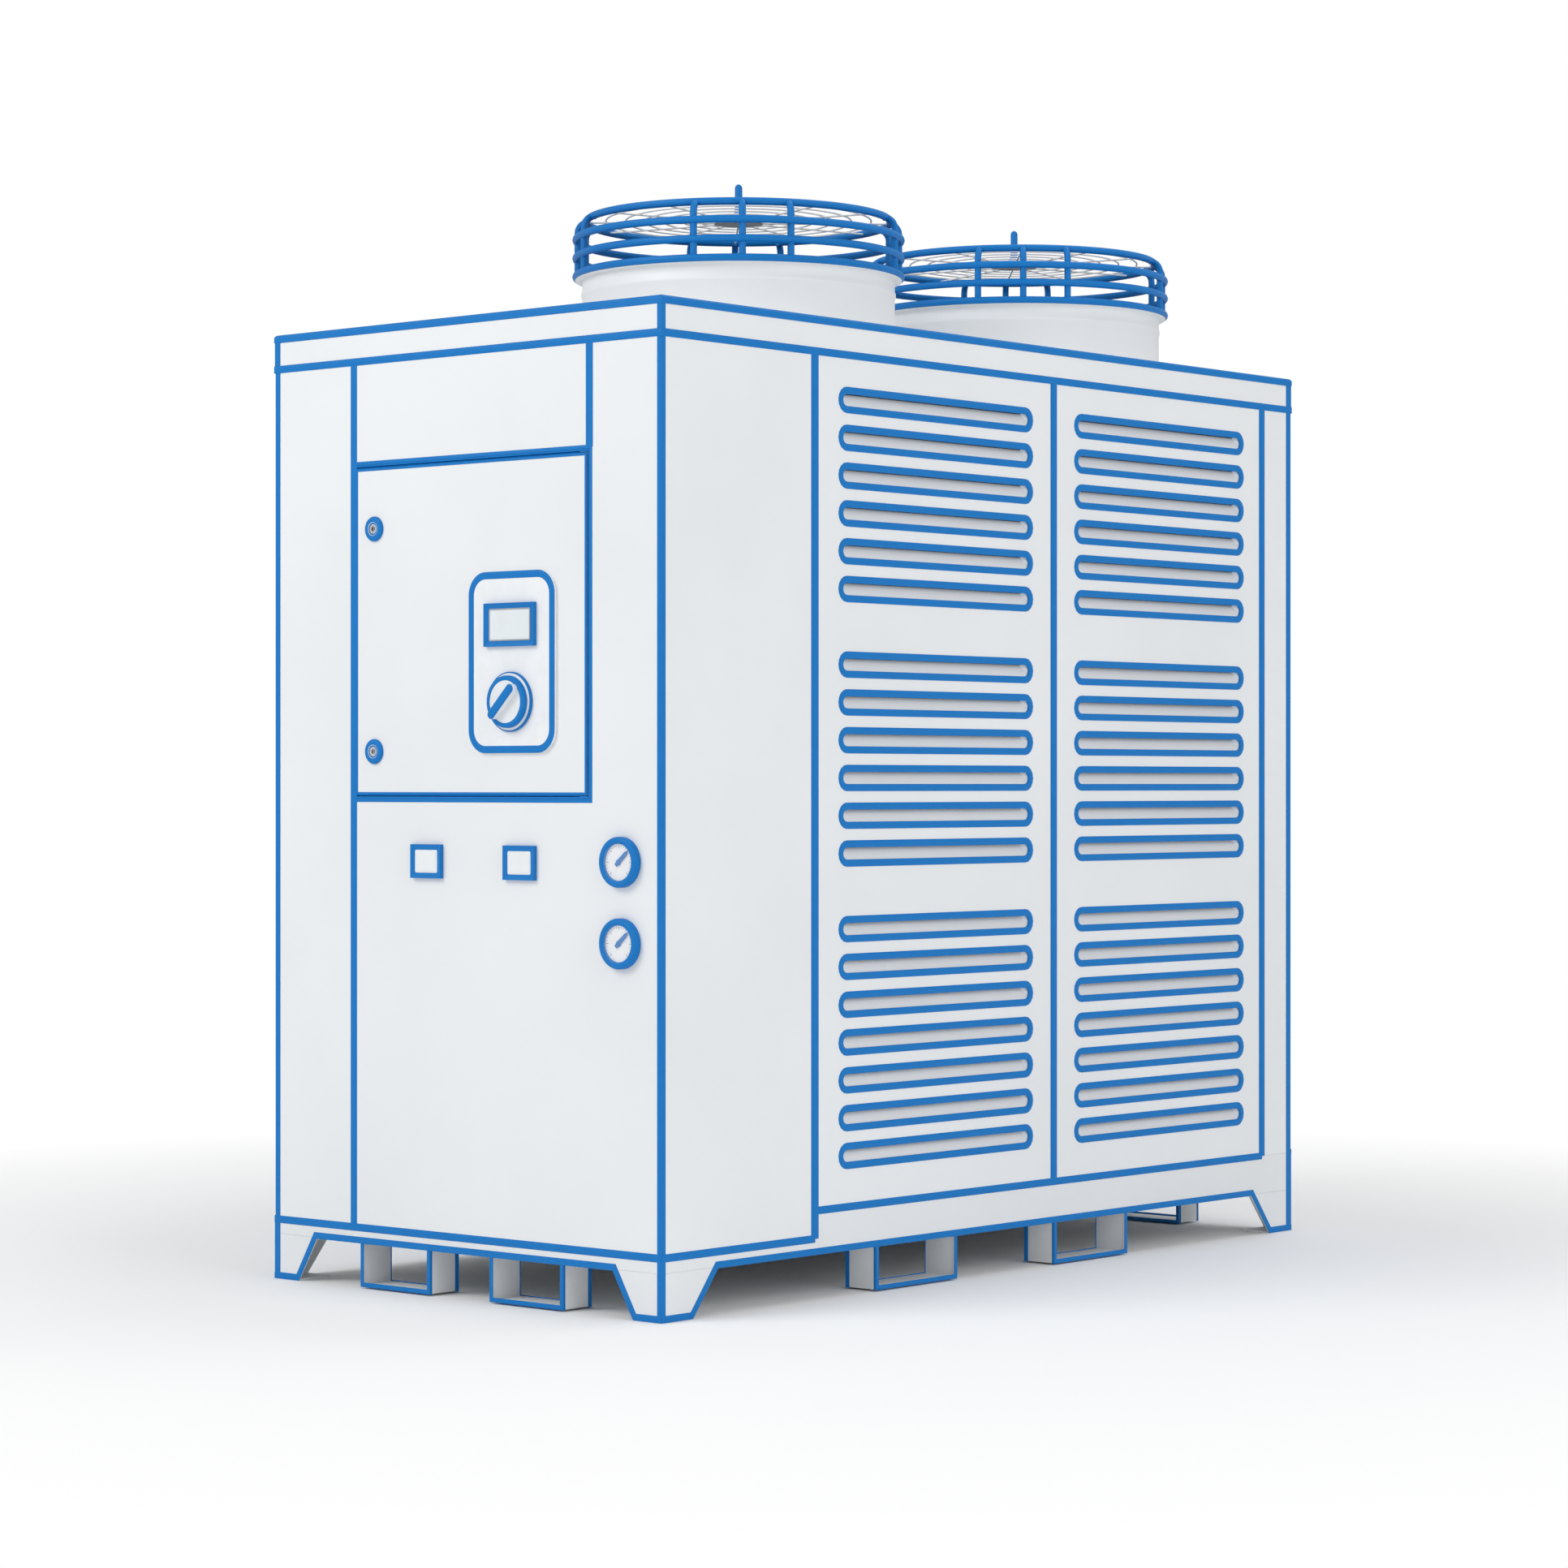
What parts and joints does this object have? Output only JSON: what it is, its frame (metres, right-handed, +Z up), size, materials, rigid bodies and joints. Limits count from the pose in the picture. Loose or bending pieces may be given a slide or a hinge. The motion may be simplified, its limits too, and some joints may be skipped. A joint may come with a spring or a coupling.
{
  "type": "process water chiller",
  "caption": "Packaged air-cooled process water chiller: white sheet cabinet with electrical door, gauges, louvred sides, caged roof fans and a footed base with fork pockets.",
  "frame": {"origin": "middle of the footprint, on the floor", "axes": "+Z up, the front with the electrical door faces -Y, its right-hand side as seen from the front faces +X"},
  "size_m": [1.06, 2.1688, 2.2458],
  "materials": {
    "panel_white": "fine textured powder coat, satin",
    "base_grey": "powder coat, satin",
    "trim_blue": "coated, satin",
    "zinc": "galvanised, dull",
    "dark_plastic": "coated, matt black",
    "fin_metal": "mill finish fins",
    "pale_plastic": "moulded, satin"
  },
  "bodies": {
    "cabinet": {"base_rail_front": "base_grey", "base_rail_rear": "base_grey", "base_rail_left": "base_grey", "base_rail_right": "base_grey", "foot_front_left": "base_grey", "foot_front_right": "base_grey", "foot_rear_left": "base_grey", "foot_rear_right": "base_grey", "floor_pan": "zinc", "front_left_strip": "panel_white", "header_panel": "panel_white", "front_main_panel": "panel_white", "rear_panel": "panel_white", "roof_cap": "panel_white", "side_panel_front_right": "panel_white", "louvre_panel_front_right": "panel_white", "louvre_panel_rear_right": "panel_white", "rear_post_right": "panel_white", "condenser_coil_right": "fin_metal", "side_panel_front_left": "panel_white", "louvre_panel_front_left": "panel_white", "louvre_panel_rear_left": "panel_white", "rear_post_left": "panel_white", "condenser_coil_left": "fin_metal", "pressure_gauge_upper": "trim_blue", "pressure_gauge_lower": "trim_blue", "pilot_lamp_left": "trim_blue", "pilot_lamp_right": "trim_blue", "electrical_enclosure": "zinc", "switchgear_plate": "zinc", "bulkhead": "zinc", "water_inlet": "zinc", "water_outlet": "zinc", "fan_shroud_front": "panel_white", "fan_motor_front": "dark_plastic", "fan_guard_front": "trim_blue", "fan_grille_front": "trim_blue", "fan_shroud_rear": "panel_white", "fan_motor_rear": "dark_plastic", "fan_guard_rear": "trim_blue", "fan_grille_rear": "trim_blue"},
    "door": {"electrical_door": "panel_white", "control_plate": "panel_white", "display": "trim_blue", "switch_rosette": "trim_blue"},
    "main_switch": {"main_switch_handle": "pale_plastic"},
    "lock_upper": {"quarter_turn_lock_upper": "zinc"},
    "lock_lower": {"quarter_turn_lock_lower": "zinc"},
    "fan_front": {"fan_rotor_front": "dark_plastic"},
    "fan_rear": {"fan_rotor_rear": "dark_plastic"}
  },
  "joints": [
    {"name": "door_hinge", "type": "hinge", "parent": "cabinet", "child": "door", "pos_m": [0.33, -1.035, 1.299], "axis": [0, 0, 1], "range_deg": [0, 110]},
    {"name": "main_switch_turn", "type": "hinge", "parent": "door", "child": "main_switch", "pos_m": [0.146, -1.06, 1.155], "axis": [0, -1, 0], "range_deg": [-45, 45]},
    {"name": "lock_upper_turn", "type": "hinge", "parent": "door", "child": "lock_upper", "pos_m": [-0.238, -1.04, 1.501], "axis": [0, -1, 0], "range_deg": [0, 90]},
    {"name": "lock_lower_turn", "type": "hinge", "parent": "door", "child": "lock_lower", "pos_m": [-0.238, -1.04, 1.062], "axis": [0, -1, 0], "range_deg": [0, 90]},
    {"name": "fan_front_spin", "type": "hinge", "parent": "cabinet", "child": "fan_front", "pos_m": [0.015, -0.243, 1.99], "axis": [0, 0, 1], "continuous": true},
    {"name": "fan_rear_spin", "type": "hinge", "parent": "cabinet", "child": "fan_rear", "pos_m": [0.015, 0.695, 1.99], "axis": [0, 0, 1], "continuous": true}
  ]
}
